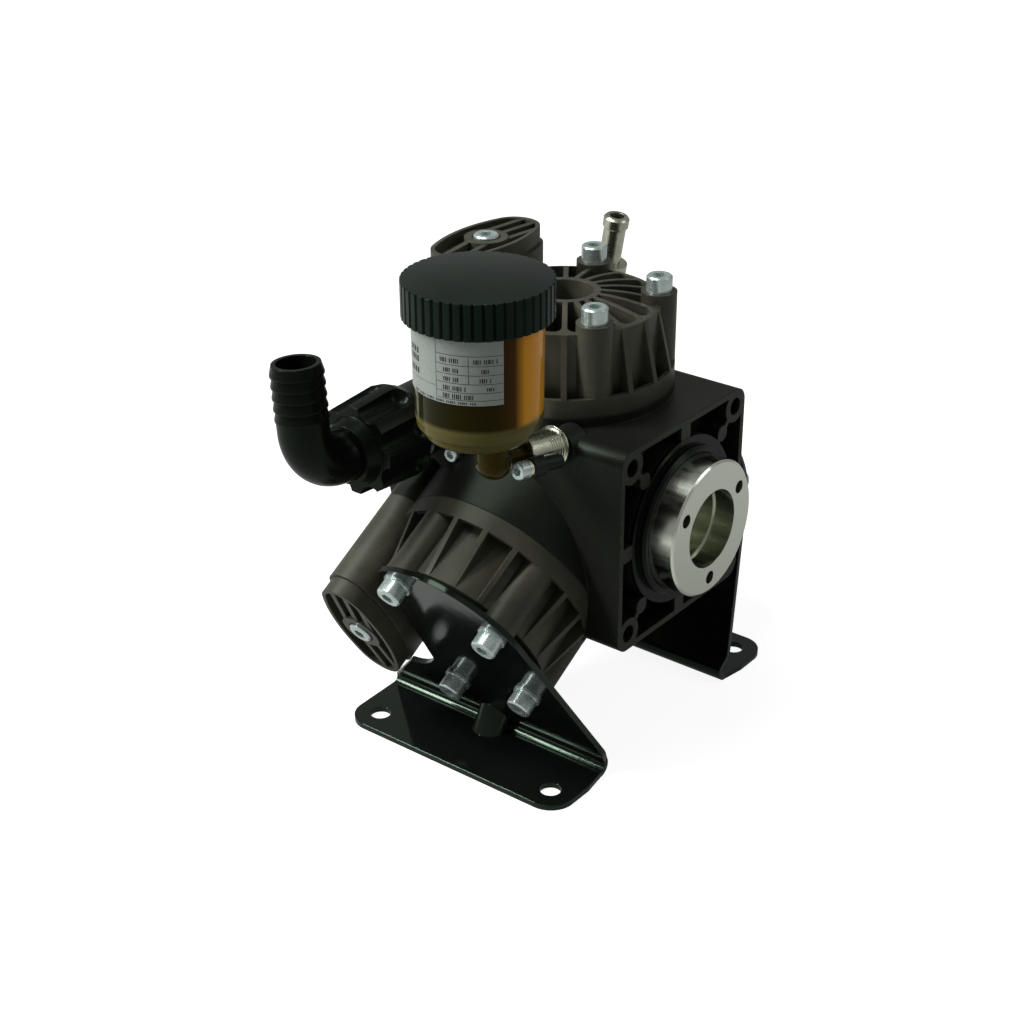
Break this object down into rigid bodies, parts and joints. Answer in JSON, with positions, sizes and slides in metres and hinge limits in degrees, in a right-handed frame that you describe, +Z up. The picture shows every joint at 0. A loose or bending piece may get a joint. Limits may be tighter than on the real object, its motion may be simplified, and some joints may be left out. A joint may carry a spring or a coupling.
{
  "type": "piston diaphragm pump",
  "caption": "Oil-backed piston diaphragm pump with radial ribbed heads, a drive hub, an oil cup, hose connections and pressed feet.",
  "frame": {"origin": "on the floor, midway between the four foot holes", "axes": "+Z up, shaft axis along Y with the drive flange towards -Y, +X to the right seen from the drive end"},
  "size_m": [0.2756, 0.1722, 0.2764],
  "materials": {
    "cast_dark": "satin dark grey coat on cast aluminium",
    "moulded_grey": "satin dark grey moulding",
    "zinc_steel": "bright zinc",
    "black_steel": "gloss black paint",
    "nickel": "polished nickel",
    "bearing_steel": "ground",
    "aluminium_bright": "machined",
    "stainless": "machined",
    "black_rubber": "matt",
    "amber_cup": "clear amber",
    "black_plastic": "satin black",
    "white_plastic": "natural",
    "label_paper": "printed film with ruled lines",
    "brass": "nickel plated",
    "yellow_zinc": "yellow zinc"
  },
  "bodies": {
    "base": {"bearing_circlip": "stainless", "bracket_screws": "zinc_steel", "clamp_screw": "zinc_steel", "crankcase": "cast_dark", "cup_label": "label_paper", "cylinder_sleeves": "stainless", "delivery_springs": "stainless", "diaphragm_left": "black_rubber", "diaphragm_right": "black_rubber", "diaphragm_top": "black_rubber", "drain_plug": "zinc_steel", "foot_bracket_left": "black_steel", "foot_bracket_right": "black_steel", "front_bearing": "bearing_steel", "head_cover_left": "moulded_grey", "head_cover_right": "moulded_grey", "head_cover_top": "moulded_grey", "head_screws": "zinc_steel", "level_plug": "zinc_steel", "lock_washers": "zinc_steel", "oil_cap_gasket": "black_rubber", "oil_cup": "amber_cup", "port_seals": "black_rubber", "rear_bearing": "bearing_steel", "rear_cover": "cast_dark", "rear_cover_screws": "zinc_steel", "seal_carrier": "black_plastic", "shaft_seal": "black_rubber", "spout_clamp": "yellow_zinc", "suction_springs": "stainless", "valve_cages": "white_plastic", "valve_cap_left": "moulded_grey", "valve_cap_right": "moulded_grey", "valve_cap_screws": "zinc_steel", "valve_cap_seals": "black_rubber", "valve_cap_top": "moulded_grey", "valve_seats": "stainless"},
    "crankshaft": {"crankshaft": "nickel", "eccentric_rollers": "bearing_steel"},
    "ring": {"eccentric_ring": "bearing_steel"},
    "piston_top": {"piston_top": "aluminium_bright", "piston_washer_top": "stainless", "piston_screw_top": "stainless"},
    "suction_valve_top": {"suction_valve_top": "stainless"},
    "delivery_valve_top": {"delivery_valve_top": "stainless"},
    "piston_left": {"piston_left": "aluminium_bright", "piston_washer_left": "stainless", "piston_screw_left": "stainless"},
    "suction_valve_left": {"suction_valve_left": "stainless"},
    "delivery_valve_left": {"delivery_valve_left": "stainless"},
    "piston_right": {"piston_right": "aluminium_bright", "piston_washer_right": "stainless", "piston_screw_right": "stainless"},
    "suction_valve_right": {"suction_valve_right": "stainless"},
    "delivery_valve_right": {"delivery_valve_right": "stainless"},
    "oil_cap": {"oil_cap": "black_plastic"},
    "suction_nut": {"suction_nut": "black_plastic"},
    "suction_elbow": {"suction_elbow": "black_plastic"},
    "delivery_nut": {"delivery_nut": "brass"},
    "delivery_elbow": {"delivery_elbow": "brass"}
  },
  "joints": [
    {"name": "crank_spin", "type": "hinge", "parent": "base", "child": "crankshaft", "pos_m": [0, 0, 0.125], "axis": [0, 1, 0], "continuous": true},
    {"name": "ring_orbit", "type": "hinge", "parent": "crankshaft", "child": "ring", "pos_m": [0, 0, 0.129], "axis": [0, 1, 0], "continuous": true},
    {"name": "piston_slide_top", "type": "slide", "parent": "base", "child": "piston_top", "axis": [0, 0, 1], "range_m": [-0.008, 0], "deforming": ["diaphragm_top"]},
    {"name": "piston_slide_left", "type": "slide", "parent": "base", "child": "piston_left", "axis": [-0.866, 0, -0.5], "range_m": [-0.002, 0.006], "deforming": ["diaphragm_left"]},
    {"name": "piston_slide_right", "type": "slide", "parent": "base", "child": "piston_right", "axis": [0.866, 0, -0.5], "range_m": [-0.002, 0.006], "deforming": ["diaphragm_right"]},
    {"name": "suction_valve_lift_top", "type": "slide", "parent": "base", "child": "suction_valve_top", "axis": [0, 0, 1], "range_m": [0, 0.0026], "stiffness_N_per_m": 150, "springref_m": -0.001, "deforming": ["suction_springs"]},
    {"name": "delivery_valve_lift_top", "type": "slide", "parent": "base", "child": "delivery_valve_top", "axis": [0, 0, -1], "range_m": [0, 0.0026], "stiffness_N_per_m": 150, "springref_m": -0.001, "deforming": ["delivery_springs"]},
    {"name": "suction_valve_lift_left", "type": "slide", "parent": "base", "child": "suction_valve_left", "axis": [-0.866, 0, -0.5], "range_m": [0, 0.0026], "stiffness_N_per_m": 150, "springref_m": -0.001, "deforming": ["suction_springs"]},
    {"name": "delivery_valve_lift_left", "type": "slide", "parent": "base", "child": "delivery_valve_left", "axis": [0.866, 0, 0.5], "range_m": [0, 0.0026], "stiffness_N_per_m": 150, "springref_m": -0.001, "deforming": ["delivery_springs"]},
    {"name": "suction_valve_lift_right", "type": "slide", "parent": "base", "child": "suction_valve_right", "axis": [0.866, 0, -0.5], "range_m": [0, 0.0026], "stiffness_N_per_m": 150, "springref_m": -0.001, "deforming": ["suction_springs"]},
    {"name": "delivery_valve_lift_right", "type": "slide", "parent": "base", "child": "delivery_valve_right", "axis": [-0.866, 0, 0.5], "range_m": [0, 0.0026], "stiffness_N_per_m": 150, "springref_m": -0.001, "deforming": ["delivery_springs"]},
    {"name": "oil_cap_turn", "type": "hinge", "parent": "base", "child": "oil_cap", "pos_m": [-0.1085, -0.033, 0.26], "axis": [0, 0, 1], "range_deg": [0, 720]},
    {"name": "suction_nut_turn", "type": "hinge", "parent": "base", "child": "suction_nut", "pos_m": [-0.086, 0.048, 0.167], "axis": [-1, 0, 0], "range_deg": [0, 720]},
    {"name": "suction_elbow_swivel", "type": "hinge", "parent": "base", "child": "suction_elbow", "pos_m": [-0.1, 0.048, 0.167], "axis": [1, 0, 0], "range_deg": [-90, 86]},
    {"name": "delivery_nut_turn", "type": "hinge", "parent": "base", "child": "delivery_nut", "pos_m": [0.081, 0.048, 0.167], "axis": [1, 0, 0], "range_deg": [0, 720]},
    {"name": "delivery_elbow_swivel", "type": "hinge", "parent": "base", "child": "delivery_elbow", "pos_m": [0.09, 0.048, 0.167], "axis": [1, 0, 0], "range_deg": [-80, 70]}
  ],
  "couplings": [
    {"joint": "ring_orbit", "follows": "crank_spin", "ratio": -1}
  ]
}
